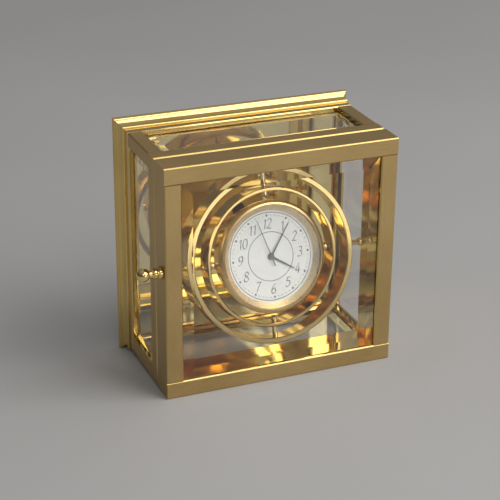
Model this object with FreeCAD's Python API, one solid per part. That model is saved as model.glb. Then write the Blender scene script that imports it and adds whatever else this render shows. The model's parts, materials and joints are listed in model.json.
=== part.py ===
import FreeCAD, Part
import math
import os

# A square brass and glass desk clock whose round quartz movement hangs in two gimbal rings.
# It stands on its lower side. +X is to the right of the dial, +Y is away from the dial, towards
# the moulded base, and +Z is towards the 12 o'clock side. The origin is the centre of the felt
# under the base. All lengths are in millimetres.

# ---------------------------------------------------------------- door
door_size = 108.0
door_thickness = 13.0
door_rail = 7.75
door_stile = 7.7
edge_chamfer = 0.45
door_glass_front = 0.5
door_glass_back = 2.8
door_lip = 1.1
door_bevel_width = 6.6
door_bevel_drop = 1.0
glass_seat = 1.6

# ---------------------------------------------------------------- case
seam = 0.6
case_size = 107.8
case_bar = 6.3
case_front_depth = 7.8
case_front_chamfer = 1.0
panel_depth = 26.8
case_back_depth = 4.7
panel_recess = 1.6
panel_thickness = 3.0
panel_seat = 1.5
panel_lip = 2.3
panel_bevel_width = 5.9
panel_bevel_drop = 1.0
corner_bar = 6.7
pocket_play = 0.1

# ---------------------------------------------------------------- base
base_depth = 9.3
# The moulding's section: stations along its depth, and heights above the front half or below the top.
front_bead_start = 0.4
front_bead_middle = 1.2
front_bead_end = 2.1
cove_start = 2.5
cove_middle = 4.9
cove_stop = 6.1
back_bead_start = 6.5
back_bead_middle = 7.7
back_bead_end = 8.9
quirk_rise = 0.3
front_bead_end_rise = 0.6
front_bead_rise = 1.35
cove_rise = 1.1
cove_drop = 1.0
back_bead_drop = 0.4
back_edge_drop = 0.7
base_front_half = 53.6
base_overhang = 3.5
felt_proud = 0.4
felt_recess = 1.0
felt_half = 51.8
inner_plate_half = 47.2
inner_plate_thickness = 1.5
base_screw_offset = 50.4
base_screw_radius = 1.5
base_screw_head_radius = 2.8
base_screw_head_height = 1.8
base_screw_depth = 4.2

# ---------------------------------------------------------------- knob and catch
knob_height = 5.5
knob_setback = 4.75
knob_ball_radius = 3.0
knob_ball_out = 8.4
knob_collar_radius = 2.8
knob_bead_radius = 2.4
knob_neck_radius = 1.9
knob_shank_radius = 1.2
knob_shank_length = 5.0
knob_round = 0.4
knob_collar_flat_end = 1.5
knob_collar_end = 1.9
knob_groove = 2.2
knob_bead_start = 2.5
knob_bead_front = 2.8
knob_bead_back = 3.7
knob_bead_end = 4.1
knob_waist = 4.8
knob_waist_drop = 0.2
catch_x = -50.6
catch_radius = 2.0
catch_magnet_length = 3.0
catch_plate_thickness = 1.0

# ---------------------------------------------------------------- hinge
hinge_out = 0.8
hinge_barrel_radius = 1.5
hinge_clearance_radius = 1.8
hinge_pin_radius = 0.7
hinge_running = 0.05
hinge_half_length = 36.0
hinge_middle_half = 12.0
hinge_end_gap = 0.1
leaf_thickness = 0.8
leaf_inner_x = 48.2
leaf_setback = 1.1
pin_head_radius = 1.2
pin_head_height = 0.5

# ---------------------------------------------------------------- gimbal
pivot_depth = 16.4
outer_ring_radius = 39.0
outer_ring_wall = 2.4
outer_ring_width = 9.0
inner_ring_radius = 31.5
inner_ring_wall = 1.6
inner_ring_width = 8.4
ring_chamfer = 0.35
pin_radius = 0.9
pin_running = 0.05
pin_into_bore = 0.2
case_pin_radius = 1.5
case_pin_neck = 1.2
case_pin_press = 3.0
case_ball_radius = 2.0
case_ball_out = 45.0
clock_ball_radius = 1.8
clock_ball_out = 27.8
clock_pin_nut_radius = 1.5
clock_pin_nut_height = 1.2
ring_pin_neck = 1.2
ring_pin_nut_radius = 1.5
ring_pin_nut_start = 27.4
ring_pin_nut_end = 29.5
outer_ring_lean = 13.0
inner_ring_turn = 3.0
clock_lean = 3.5

# ---------------------------------------------------------------- clock body
bezel_radius = 25.4
bezel_crown_radius = 24.3
bezel_front = -4.75
bezel_shoulder_radius = 24.9
bezel_shoulder = -4.3
bezel_side_front = -3.8
bezel_side_back = -1.6
bezel_back = -1.2
bezel_back_round = 0.4
crystal_lip_round = 0.15
can_radius = 22.5
can_inner_radius = 21.3
can_back = 9.9
can_front = -1.9
crystal_radius = 23.6
crystal_seat_radius = 23.7
crystal_lip_radius = 23.3
crystal_front = -4.65
crystal_back = -3.65
dial_front = -1.4
dial_back = -1.0
dial_opening = 20.7
dial_hole_radius = 1.3
front_plate_front = 0.8
front_plate_back = 1.4
back_plate_front = 6.2
back_plate_back = 7.0
plate_hole_radius = 0.35
wide_hole_radius = 0.8
back_plate_radius = 20.6
cover_front = 8.4
pillar_circle = 18.8
pillar_radius = 1.2
frame_pillars = (20.0, 150.0, 180.0, 275.0)
cover_pillars = (80.0, 150.0, 200.0)
bridge_posts = ((-8.6, 0.6), (-0.5, -8.6))
bridge_front = 2.2
bridge_back = 2.6
bridge_half_width = 2.2
bridge_end = 1.5
bridge_post_radius = 1.0
motion_stud_radius = 0.5
motion_stud_front = -0.9
battery_seat_radius = 6.0

# ---------------------------------------------------------------- motor and circuit
stator_front = 5.1
stator_back = 5.7
stator_left = -13.5
stator_left_arm = -11.5
stator_elbow = -5.0
stator_right_arm = -2.5
stator_right = -0.5
stator_top = -2.2
stator_neck_top = -5.2
stator_neck_bottom = -7.0
stator_bottom = -16.3
stator_hole_radius = 1.6
core_front = 4.3
core_bottom = -15.3
core_top = -13.7
coil_y = 4.0
coil_z = -14.5
winding_start = -10.8
winding_length = 7.6
winding_radius = 1.7
flange_radius = 2.1
flange_thickness = 0.4
flange_places = (-11.2, -3.2)
board_left = 6.2
board_right = 15.0
board_bottom = 4.0
board_top = 13.0
board_front = 5.5
board_back = 6.2
chip_radius = 2.0
chip_thickness = 0.9
chip_front = 4.6
chip_x = 10.5
chip_z = 8.5

# ---------------------------------------------------------------- teeth
# Addendum and dedendum in modules, tooth widths at root, pitch line and tip as shares of a pitch.
leaf_addendum = 0.70
wheel_addendum = 0.80
dedendum = 1.25
leaf_shares = (0.17, 0.17, 0.07)
wheel_shares = (0.26, 0.20, 0.08)

# ---------------------------------------------------------------- arbors and wheel layers
arbor_radius = 0.3
arbor_front = 0.9
arbor_back = 6.9
fifth_arbor_front = 2.25
rotor_pinion_span = (3.5, 4.2)
rotor_magnet_span = (4.8, 5.9)
rotor_magnet_radius = 1.2
fifth_wheel_span = (3.7, 3.95)
fifth_pinion_span = (4.4, 5.0)
second_wheel_span = (4.55, 4.85)
second_pinion_span = (2.8, 3.45)
third_wheel_span = (3.0, 3.25)
third_pinion_span = (1.55, 2.15)
centre_wheel_span = (1.7, 1.95)
cannon_span = (-0.2, 0.6)
minute_pipe_front = -2.3
minute_pipe_radius = 0.7
minute_pipe_running = 0.06
motion_wheel_span = (0.0, 0.3)
motion_pinion_span = (-0.8, 0.0)
motion_bore_radius = 0.55
hour_wheel_span = (-0.7, -0.4)
hour_pipe_front = -1.95
hour_pipe_radius = 1.15
hour_bore_radius = 0.8
setting_pinion_span = (-0.1, 0.5)
setting_arbor_front = -0.5
setting_arbor_radius = 0.75
setting_hole_radius = 0.9
setting_flute_radius = 0.22
setting_flute_out = 0.1

# ---------------------------------------------------------------- wheel train
module_rotor = 0.20
module_second = 0.20
module_third = 0.18
module_centre = 0.17
module_motion = 0.25
rotor_leaves = 6
fifth_teeth = 36
fifth_leaves = 8
second_teeth = 40
second_leaves = 8
third_teeth = 60
third_leaves = 8
centre_teeth = 64
cannon_leaves = 10
motion_teeth = 30
motion_leaves = 8
hour_teeth = 32
setting_leaves = 12
third_direction = 90.0
fifth_direction = 210.0
motion_direction = 0.0
setting_knob_radius = 3.2
setting_knob_front = 10.3
setting_knob_back = 12.8
setting_knob_flutes = 24

# ---------------------------------------------------------------- hands
show_hours = 4.0
show_minutes = 5.95
show_seconds = 57.0
hand_thickness = 0.15
hour_hand_length = 12.7
hour_hand_back = -1.7
minute_hand_length = 17.0
minute_hand_back = -2.05
second_hand_length = 17.9
second_hand_back = -2.4
second_hand_boss = 1.1
second_boss_front = -2.7
second_arbor_front = -2.6
second_hand_tail = 4.6
hour_hand_root = 0.58
hour_hand_tip = 0.24
hour_hand_boss = 1.6
minute_hand_root = 0.48
minute_hand_tip = 0.18
minute_hand_boss = 1.3
second_hand_root = 0.18
second_hand_tip = 0.13
second_tail_tip = 0.26

# ---------------------------------------------------------------- battery
battery_x = 8.0
battery_z = -12.0
battery_radius = 5.8
battery_front = 3.0
battery_back = 8.4
battery_play = 0.2
battery_nub_height = 0.8
battery_nub_inset = 1.4
lid_radius = 6.5
lid_slot_half_length = 4.5
lid_slot_half_width = 0.6
lid_slot_depth = 0.7

# ---------------------------------------------------------------- planes along Y
y_base_back = -felt_proud
y_base_front = y_base_back - base_depth
y_panel_back = y_base_front - case_back_depth
y_panel_front = y_panel_back - panel_depth
y_case_front = y_panel_front - case_front_depth
y_door_back = y_case_front - seam
y_front = y_door_back - door_thickness
y_pivot = y_front + pivot_depth

door_half = door_size / 2
case_half = case_size / 2
case_inner = case_half - case_bar

X = FreeCAD.Vector(1, 0, 0)
Y = FreeCAD.Vector(0, 1, 0)
Z = FreeCAD.Vector(0, 0, 1)
CENTRE = FreeCAD.Vector(0, 0, 0)


def vec(x, y, z):
    return FreeCAD.Vector(x, y, z)


def box(x0, x1, y0, y1, z0, z1):
    return Part.makeBox(x1 - x0, y1 - y0, z1 - z0, vec(x0, y0, z0))


def rod(radius, start, end, x=0.0, z=0.0):
    # A round bar along Y.
    return Part.makeCylinder(radius, end - start, vec(x, start, z), Y)


def tube(outer, inner, start, end, x=0.0, z=0.0):
    return rod(outer, start, end, x, z).cut(rod(inner, start - 1, end + 1, x, z))


def join(shapes):
    result = shapes[0]
    for shape in shapes[1:]:
        result = result.fuse(shape)
    return result.removeSplitter()


def cut_all(shape, tools):
    for tool in tools:
        shape = shape.cut(tool)
    return shape


def chamfer_along(shape, direction, size, low, high):
    # Chamfers the straight edges that run along one direction for the whole length low to high.
    edges = []
    for edge in shape.Edges:
        ends = [v.Point for v in edge.Vertexes]
        if len(ends) != 2:
            continue
        run = ends[1].sub(ends[0])
        if abs(abs(run.dot(direction)) - (high - low)) < 0.001 and abs(run.Length - (high - low)) < 0.001:
            edges.append(edge)
    return shape.makeChamfer(size, edges)


def bar_x(x0, x1, y0, y1, z0, z1):
    return chamfer_along(box(x0, x1, y0, y1, z0, z1), X, edge_chamfer, x0, x1)


def bar_y(x0, x1, y0, y1, z0, z1):
    return chamfer_along(box(x0, x1, y0, y1, z0, z1), Y, edge_chamfer, y0, y1)


def bar_z(x0, x1, y0, y1, z0, z1):
    return chamfer_along(box(x0, x1, y0, y1, z0, z1), Z, edge_chamfer, z0, z1)


def turned(points, axis_start, axis):
    # A turned solid. points are (distance along the axis, radius), axis is X, Y, Z or a reverse.
    side = Z if abs(axis.dot(Z)) < 0.5 else X
    corners = []
    for along, radius in points:
        corners.append(axis_start.add(axis * along).add(side * radius))
    corners.append(corners[0])
    face = Part.Face(Part.makePolygon(corners))
    return face.revolve(axis_start, axis, 360)


def turned_with_ball(before, centre, radius, after, axis_start, axis):
    # A turned solid with a ball in it. before ends and after starts where the rod meets the ball.
    side = Z if abs(axis.dot(Z)) < 0.5 else X

    def at(along, out):
        return axis_start.add(axis * along).add(side * out)

    near = before[-1][1]
    far = after[0][1]
    points = [at(along, out) for along, out in before]
    points.append(at(centre - math.sqrt(radius ** 2 - near ** 2), near))
    edges = [Part.makeLine(points[i], points[i + 1]) for i in range(len(points) - 1)]
    arc_end = at(centre + math.sqrt(radius ** 2 - far ** 2), far)
    edges.append(Part.Arc(points[-1], at(centre, radius), arc_end).toShape())
    rest = [arc_end] + [at(along, out) for along, out in after[1:]]
    edges += [Part.makeLine(rest[i], rest[i + 1]) for i in range(len(rest) - 1)]
    edges.append(Part.makeLine(rest[-1], points[0]))
    return Part.Face(Part.Wire(edges)).revolve(axis_start, axis, 360)


def mirrored_x(shape):
    return shape.mirror(CENTRE, X)


def mirrored_z(shape):
    return shape.mirror(CENTRE, Z)


# ================================================================ glass

def bevelled_pane(half_a, half_b, thickness, bevel_width, bevel_drop):
    # A pane lying in the XY plane with its flat back at z = 0 and its bevelled face up.
    edge_height = thickness - bevel_drop
    lower = Part.makeBox(2 * half_a, 2 * half_b, edge_height, vec(-half_a, -half_b, 0))
    inner_a = half_a - bevel_width
    inner_b = half_b - bevel_width
    rings = []
    for a, b, height in ((half_a, half_b, edge_height), (inner_a, inner_b, thickness)):
        corners = [vec(-a, -b, height), vec(a, -b, height), vec(a, b, height), vec(-a, b, height)]
        corners.append(corners[0])
        rings.append(Part.makePolygon(corners))
    upper = Part.makeLoft(rings, True, True)
    return lower.fuse(upper).removeSplitter()


def door_glass():
    half_a = door_half - door_stile + glass_seat
    half_b = door_half - door_rail + glass_seat
    thickness = door_glass_back - door_glass_front
    pane = bevelled_pane(half_a, half_b, thickness, door_bevel_width, door_bevel_drop)
    pane.rotate(CENTRE, X, 90)
    pane.translate(vec(0, y_front + door_glass_back, 0))
    return pane


def door_glass_pocket():
    half_a = door_half - door_stile + glass_seat + pocket_play
    half_b = door_half - door_rail + glass_seat + pocket_play
    return box(-half_a, half_a, y_front + door_lip, y_front + door_glass_back, -half_b, half_b)


def side_pane():
    # The right-hand pane of the case, bevelled on its outer face.
    half_a = case_half - corner_bar + panel_seat
    half_b = panel_depth / 2 + panel_seat
    pane = bevelled_pane(half_a, half_b, panel_thickness, panel_bevel_width, panel_bevel_drop)
    pane.rotate(CENTRE, Y, 90)
    middle = (y_panel_front + y_panel_back) / 2
    pane.translate(vec(case_half - panel_recess - panel_thickness, middle, 0))
    return pane


def panes():
    result = []
    for turn in range(4):
        pane = side_pane()
        pane.rotate(CENTRE, Y, -90 * turn)
        result.append(pane)
    return result


def pane_pockets():
    half_a = case_half - corner_bar + panel_seat + pocket_play
    x0 = case_half - panel_recess - panel_thickness
    x1 = case_half - panel_lip
    y0 = y_panel_front - panel_seat - pocket_play
    y1 = y_panel_back + panel_seat + pocket_play
    result = []
    for turn in range(4):
        pocket = box(x0, x1, y0, y1, -half_a, half_a)
        pocket.rotate(CENTRE, Y, -90 * turn)
        result.append(pocket)
    return result


# ================================================================ base

def square_moulding(profile, reach):
    # A block whose four sides all have the same moulded profile, mitred at the corners.
    along_x = Part.Face(profile).extrude(vec(2 * reach, 0, 0))
    along_x.translate(vec(-reach, 0, 0))
    along_z = along_x.copy()
    along_z.rotate(CENTRE, Y, 90)
    return along_x.common(along_z)


def moulding_profile():
    # The section in the YZ plane: a front bead, a cove and a back bead, the same above and below.
    start = y_base_front
    quirk = base_front_half + quirk_rise
    bead_end = base_front_half + front_bead_end_rise
    bead_top = base_front_half + front_bead_rise
    cove_deep = base_front_half + cove_rise
    top = base_front_half + base_overhang
    cove_end = top - cove_drop

    def at(back, up):
        return vec(0, start + back, up)

    upper = [
        Part.makeLine(at(0, quirk), at(front_bead_start, quirk)),
        Part.Arc(at(front_bead_start, quirk), at(front_bead_middle, bead_top),
                 at(front_bead_end, bead_end)).toShape(),
        Part.makeLine(at(front_bead_end, bead_end), at(cove_start, bead_end)),
        Part.Arc(at(cove_start, bead_end), at(cove_middle, cove_deep), at(cove_stop, cove_end)).toShape(),
        Part.makeLine(at(cove_stop, cove_end), at(back_bead_start, cove_end)),
        Part.Arc(at(back_bead_start, cove_end), at(back_bead_middle, top),
                 at(back_bead_end, top - back_bead_drop)).toShape(),
        Part.makeLine(at(back_bead_end, top - back_bead_drop), at(base_depth, top - back_edge_drop)),
    ]
    lower = [edge.mirror(CENTRE, Z) for edge in upper]
    back = Part.makeLine(at(base_depth, top - back_edge_drop), at(base_depth, back_edge_drop - top))
    front = Part.makeLine(at(0, -quirk), at(0, quirk))
    return Part.Wire(Part.__sortEdges__(upper + [back] + lower + [front]))


def base_screw_places():
    places = []
    for sx in (-1, 1):
        for sz in (-1, 1):
            places.append((sx * base_screw_offset, sz * base_screw_offset))
    return places


def base_block():
    block = square_moulding(moulding_profile(), door_size)
    recess = felt_half + pocket_play
    head_front = y_base_back - felt_recess - base_screw_head_height
    block = block.cut(box(-recess, recess, y_base_back - felt_recess, y_base_back + 1, -recess, recess))
    for x, z in base_screw_places():
        block = block.cut(rod(base_screw_radius, y_base_front - 1, y_base_back, x, z))
        block = block.cut(rod(base_screw_head_radius, head_front, y_base_back, x, z))
    return block


def base_screws():
    screws = []
    head_back = y_base_back - felt_recess
    head_front = head_back - base_screw_head_height
    for x, z in base_screw_places():
        shank = rod(base_screw_radius, y_base_front - base_screw_depth, head_front, x, z)
        head = rod(base_screw_head_radius, head_front, head_back - 0.1, x, z)
        slot = box(x - 3, x + 3, head_back - 0.9, head_back, z - 0.4, z + 0.4)
        screws.append(shank.fuse(head).cut(slot))
    return Part.makeCompound(screws)


def base_felt():
    return box(-felt_half, felt_half, y_base_back - felt_recess, 0, -felt_half, felt_half)


def base_plate():
    h = inner_plate_half
    return box(-h, h, y_base_front - inner_plate_thickness, y_base_front, -h, h)


# ================================================================ case frame

def case_rail(y0, y1):
    return bar_x(-case_half, case_half, y0, y1, case_inner, case_half)


def case_stile(y0, y1):
    return bar_z(case_inner, case_half, y0, y1, -case_inner, case_inner)


def screw_holes():
    holes = []
    for x, z in base_screw_places():
        holes.append(rod(base_screw_radius, y_base_front - base_screw_depth, y_base_front + 1, x, z))
    return holes


def back_rail_top():
    return cut_all(case_rail(y_panel_back, y_base_front), pane_pockets() + screw_holes())


def back_stile_right():
    return cut_all(case_stile(y_panel_back, y_base_front), pane_pockets())


def front_outline():
    # A block as large as the front frame, with the wide chamfer round its outer front edges.
    h = case_half
    block = box(-h, h, y_case_front, y_panel_front, -h, h)
    edges = [e for e in block.Edges if abs(e.BoundBox.YMax - y_case_front) < 0.001]
    return block.makeChamfer(case_front_chamfer, edges)


def front_rail_top():
    return cut_all(case_rail(y_case_front, y_panel_front), pane_pockets()).common(front_outline())


def front_stile_plain():
    return cut_all(case_stile(y_case_front, y_panel_front), pane_pockets()).common(front_outline())


def case_pivot_hole():
    return Part.makeCylinder(case_pin_radius, case_pin_press, vec(case_inner, y_pivot, 0), X)


def hinge_room():
    z0 = -hinge_half_length - 0.9
    length = -2 * z0
    return Part.makeCylinder(hinge_clearance_radius, length, vec(hinge_x(), hinge_y(), z0), Z)


def case_leaf_pocket():
    h = hinge_half_length
    return box(leaf_inner_x, case_half + 1, y_case_front - 0.1, y_case_front + leaf_thickness, -h, h)


def front_stile_right():
    return cut_all(front_stile_plain(), [case_pivot_hole(), case_leaf_pocket(), hinge_room()])


def front_stile_left():
    stile = mirrored_x(front_stile_plain().cut(case_pivot_hole()))
    y_end = y_case_front + catch_magnet_length
    return stile.cut(rod(catch_radius, y_case_front - 1, y_end, catch_x, knob_height))


def corner_bar_top_right():
    inner = case_half - corner_bar
    bar = bar_y(inner, case_half, y_panel_front, y_panel_back, inner, case_half)
    return cut_all(bar, pane_pockets())


def case_pivots():
    # Each pin is pressed into a front stile, carries a ball, and its end runs in the outer ring.
    tip = outer_ring_radius - outer_ring_wall + pin_into_bore
    shoulder = outer_ring_radius + 0.5
    press_end = case_inner + case_pin_press
    before = [(tip, 0), (tip, pin_radius), (shoulder, pin_radius), (shoulder, case_pin_neck)]
    after = [(0, case_pin_neck), (case_inner, case_pin_neck), (case_inner, case_pin_radius),
             (press_end, case_pin_radius), (press_end, 0)]
    pin = turned_with_ball(before, case_ball_out, case_ball_radius, after, vec(0, y_pivot, 0), X)
    return Part.makeCompound([pin, mirrored_x(pin)])


def catch_magnet():
    return rod(catch_radius, y_case_front, y_case_front + catch_magnet_length, catch_x, knob_height)


# ================================================================ hinge

def hinge_x():
    return door_half + hinge_out


def hinge_y():
    return y_door_back + seam / 2


def knuckle(z0, z1):
    return Part.makeCylinder(hinge_barrel_radius, z1 - z0, vec(hinge_x(), hinge_y(), z0), Z)


def pin_bore(radius):
    z0 = -hinge_half_length - 1
    return Part.makeCylinder(radius, -2 * z0, vec(hinge_x(), hinge_y(), z0), Z)


def hinge_leaf_case():
    h = hinge_half_length
    m = hinge_middle_half + hinge_end_gap
    y0 = y_case_front
    y1 = y_case_front + leaf_thickness
    parts = [box(leaf_inner_x, case_half - leaf_setback, y0, y1, -h, h)]
    for z0, z1 in ((-h, -m), (m, h)):
        parts.append(box(case_half - leaf_setback, hinge_x(), y0, y1, z0, z1))
        parts.append(knuckle(z0, z1))
    return join(parts).cut(pin_bore(hinge_pin_radius))


def hinge_leaf_door():
    h = hinge_half_length
    m = hinge_middle_half
    y0 = y_door_back - leaf_thickness
    y1 = y_door_back
    parts = [box(leaf_inner_x, case_half - leaf_setback, y0, y1, -h, h)]
    parts.append(box(case_half - leaf_setback, hinge_x(), y0, y1, -m, m))
    parts.append(knuckle(-m, m))
    return join(parts).cut(pin_bore(hinge_pin_radius + hinge_running))


def hinge_pin():
    h = hinge_half_length
    pin = Part.makeCylinder(hinge_pin_radius, 2 * h, vec(hinge_x(), hinge_y(), -h), Z)
    heads = []
    for z in (-h - pin_head_height, h):
        heads.append(Part.makeCylinder(pin_head_radius, pin_head_height, vec(hinge_x(), hinge_y(), z), Z))
    return join([pin] + heads)


# ================================================================ door

def door_rail_top():
    z0 = door_half - door_rail
    rail = bar_x(-door_half, door_half, y_front, y_door_back, z0, door_half)
    return rail.cut(door_glass_pocket())


def door_stile_shape():
    x0 = door_half - door_stile
    z = door_half - door_rail
    stile = bar_z(x0, door_half, y_front, y_door_back, -z, z)
    return stile.cut(door_glass_pocket())


def door_stile_right():
    h = hinge_half_length
    pocket = box(leaf_inner_x, door_half + 1, y_door_back - leaf_thickness, y_door_back + 1, -h, h)
    return cut_all(door_stile_shape(), [pocket, hinge_room()])


def knob_start():
    return vec(-door_half, y_front + knob_setback, knob_height)


def door_stile_left():
    stile = mirrored_x(door_stile_shape())
    hole = Part.makeCylinder(knob_shank_radius, knob_shank_length, knob_start(), X)
    plate_hole = rod(catch_radius, y_door_back - catch_plate_thickness, y_door_back + 1, catch_x, knob_height)
    return cut_all(stile, [hole, plate_hole])


def door_catch_plate():
    return rod(catch_radius, y_door_back - catch_plate_thickness, y_door_back, catch_x, knob_height)


def door_knob():
    # Shank, rounded collar against the stile, groove, bead, neck and ball, turned in one piece.
    shank = [(-knob_shank_length, 0), (-knob_shank_length, knob_shank_radius), (0, knob_shank_radius)]
    collar = [(0, knob_collar_radius - knob_round), (knob_round, knob_collar_radius),
              (knob_collar_flat_end, knob_collar_radius), (knob_collar_end, knob_collar_radius - knob_round),
              (knob_groove, knob_neck_radius)]
    bead = [(knob_bead_start, knob_bead_radius - 0.1), (knob_bead_front, knob_bead_radius),
            (knob_bead_back, knob_bead_radius), (knob_bead_end, knob_neck_radius),
            (knob_waist, knob_neck_radius - knob_waist_drop)]
    after = [(0, 0.4), (knob_ball_out + knob_ball_radius - 0.02, 0)]
    before = shank + collar + bead
    return turned_with_ball(before, knob_ball_out, knob_ball_radius, after, knob_start(), X * -1)


# ================================================================ gimbal placing

def place_outer(shape):
    # From the ring's own frame, centred on the pivots, to where the outer ring hangs.
    shape.rotate(CENTRE, X, -outer_ring_lean)
    shape.translate(vec(0, y_pivot, 0))
    return shape


def place_inner(shape):
    shape.rotate(CENTRE, Z, inner_ring_turn)
    return place_outer(shape)


def place_clock(shape):
    shape.rotate(CENTRE, X, -clock_lean)
    return place_inner(shape)


def band(radius, wall, width):
    ring = tube(radius, radius - wall, -width / 2, width / 2)
    return ring.makeChamfer(ring_chamfer, [e for e in ring.Edges if isinstance(e.Curve, Part.Circle)])


def bore_across(radius, direction, reach):
    return Part.makeCylinder(radius, 2 * reach, direction * -reach, direction)


def outer_ring():
    ring = band(outer_ring_radius, outer_ring_wall, outer_ring_width)
    ring = ring.cut(bore_across(pin_radius + pin_running, X, outer_ring_radius + 5))
    ring = ring.cut(bore_across(pin_radius, Z, outer_ring_radius + 5))
    return place_outer(ring)


def ring_pivots():
    # Pressed into the outer ring at 12 and 6 o'clock; the inner ring turns on them between nut and neck.
    neck_end = outer_ring_radius - outer_ring_wall - 0.05
    neck_start = inner_ring_radius + 0.4
    head_end = outer_ring_radius + 0.8
    profile = [(ring_pin_nut_start, 0), (ring_pin_nut_start, ring_pin_nut_radius - 0.4),
               (ring_pin_nut_start + 0.4, ring_pin_nut_radius), (ring_pin_nut_end, ring_pin_nut_radius),
               (ring_pin_nut_end, pin_radius), (neck_start, pin_radius), (neck_start, ring_pin_neck),
               (neck_end, ring_pin_neck), (neck_end, pin_radius), (outer_ring_radius, pin_radius),
               (outer_ring_radius, ring_pin_nut_radius), (head_end, ring_pin_nut_radius - 0.4), (head_end, 0)]
    pins = [turned(profile, CENTRE, Z), turned(profile, CENTRE, Z * -1)]
    return place_outer(Part.makeCompound(pins))


def inner_ring():
    ring = band(inner_ring_radius, inner_ring_wall, inner_ring_width)
    ring = ring.cut(bore_across(pin_radius + pin_running, Z, inner_ring_radius + 5))
    ring = ring.cut(bore_across(pin_radius, X, inner_ring_radius + 5))
    return place_inner(ring)


def clock_pivots():
    # Pressed into the inner ring at 3 and 9 o'clock; the inner ends run in the clock's can.
    tip = can_inner_radius + 0.3
    nut_end = inner_ring_radius + clock_pin_nut_height
    before = [(tip, 0), (tip, pin_radius)]
    after = [(0, pin_radius), (inner_ring_radius, pin_radius), (inner_ring_radius, clock_pin_nut_radius),
             (nut_end, clock_pin_nut_radius), (nut_end, 0)]
    pin = turned_with_ball(before, clock_ball_out, clock_ball_radius, after, CENTRE, X)
    return place_inner(Part.makeCompound([pin, mirrored_x(pin)]))


# ================================================================ clock body

def turned_ring(points):
    # points are (radius, y).
    corners = [vec(radius, y, 0) for radius, y in points]
    corners.append(corners[0])
    return Part.Face(Part.makePolygon(corners)).revolve(CENTRE, Y, 360)


def bezel():
    # A rounded ring with a lip over the crystal and a funnel that slopes down to the dial.
    outside = [(crystal_lip_radius, crystal_front), (crystal_lip_radius, crystal_front - crystal_lip_round),
               (crystal_lip_radius + 0.2, crystal_front - 0.3), (bezel_crown_radius, bezel_front),
               (bezel_shoulder_radius, bezel_shoulder), (bezel_radius, bezel_side_front),
               (bezel_radius, bezel_side_back), (bezel_radius - bezel_back_round, bezel_back),
               (can_radius, bezel_back)]
    inside = [(can_radius, can_front), (dial_opening, can_front), (dial_opening, can_front - 0.1),
              (crystal_lip_radius - crystal_lip_round, crystal_back), (crystal_seat_radius, crystal_back),
              (crystal_seat_radius, crystal_front)]
    return place_clock(turned_ring(outside + inside))


def crystal():
    return place_clock(rod(crystal_radius, crystal_front, crystal_back))


def clock_can():
    can = tube(can_radius, can_inner_radius, can_front, can_back)
    can = can.cut(bore_across(pin_radius + pin_running, X, can_radius + 5))
    return place_clock(can)


def dial_spacer():
    return place_clock(tube(can_inner_radius, dial_opening, can_front, dial_front))


def dial():
    return place_clock(tube(can_inner_radius, dial_hole_radius, dial_front, dial_back))


def polar(radius, degrees):
    angle = math.radians(degrees)
    return radius * math.cos(angle), radius * math.sin(angle)


def distance_between(teeth_a, teeth_b, module):
    return module * (teeth_a + teeth_b) / 2


third_x, third_z = polar(distance_between(second_leaves, third_teeth, module_third), third_direction)
fifth_x, fifth_z = polar(distance_between(fifth_leaves, second_teeth, module_second), fifth_direction)
rotor_step_x, rotor_step_z = polar(distance_between(rotor_leaves, fifth_teeth, module_rotor), fifth_direction)
rotor_x = fifth_x + rotor_step_x
rotor_z = fifth_z + rotor_step_z
motion_x, motion_z = polar(distance_between(cannon_leaves, motion_teeth, module_motion), motion_direction)
setting_step_x, setting_step_z = polar(distance_between(motion_teeth, setting_leaves, module_motion),
                                       motion_direction)
setting_x = motion_x + setting_step_x
setting_z = motion_z + setting_step_z


def movement_frame():
    # Front plate with its pillars, the motion wheel's stud, the battery seat and the fifth bridge.
    plate = rod(can_inner_radius, front_plate_front, front_plate_back)
    solids = [plate]
    for degrees in frame_pillars:
        x, z = polar(pillar_circle, degrees)
        solids.append(rod(pillar_radius, front_plate_back, back_plate_front, x, z))
    solids.append(rod(motion_stud_radius, motion_stud_front, front_plate_front, motion_x, motion_z))
    solids.append(rod(battery_seat_radius, front_plate_back, battery_front, battery_x, battery_z))
    for x, z in bridge_posts:
        solids.append(rod(bridge_post_radius, front_plate_back, bridge_front, x, z))
    solids.append(fifth_bridge(bridge_posts))
    frame = join(solids)
    holes = [rod(wide_hole_radius, 0, 2, 0, 0), rod(plate_hole_radius, 0, 2, third_x, third_z),
             rod(plate_hole_radius, 0, 2, rotor_x, rotor_z),
             rod(wide_hole_radius, 0, 2, setting_x, setting_z),
             rod(plate_hole_radius, 2.1, 3, fifth_x, fifth_z)]
    return place_clock(cut_all(frame, holes))


def fifth_bridge(ends):
    (x0, z0), (x1, z1) = ends
    run_x = x1 - x0
    run_z = z1 - z0
    length = math.hypot(run_x, run_z)
    half = bridge_half_width
    bar = box(-bridge_end, length + bridge_end, bridge_front, bridge_back, -half, half)
    bar.rotate(CENTRE, Y, -math.degrees(math.atan2(run_z, run_x)))
    bar.translate(vec(x0, 0, z0))
    return bar


def movement_back_plate():
    plate = rod(back_plate_radius, back_plate_front, back_plate_back)
    holes = [rod(battery_radius + battery_play, 6, 8, battery_x, battery_z),
             rod(plate_hole_radius, 6, 8, 0, 0), rod(plate_hole_radius, 6, 8, third_x, third_z),
             rod(plate_hole_radius, 6, 8, fifth_x, fifth_z), rod(plate_hole_radius, 6, 8, rotor_x, rotor_z),
             rod(wide_hole_radius, 6, 8, setting_x, setting_z)]
    return place_clock(cut_all(plate, holes))


def battery():
    cell_front = battery_front + battery_nub_height
    cell = rod(battery_radius, cell_front, battery_back, battery_x, battery_z)
    nub = rod(battery_radius - battery_nub_inset, battery_front, cell_front, battery_x, battery_z)
    return place_clock(join([cell, nub]))


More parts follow.
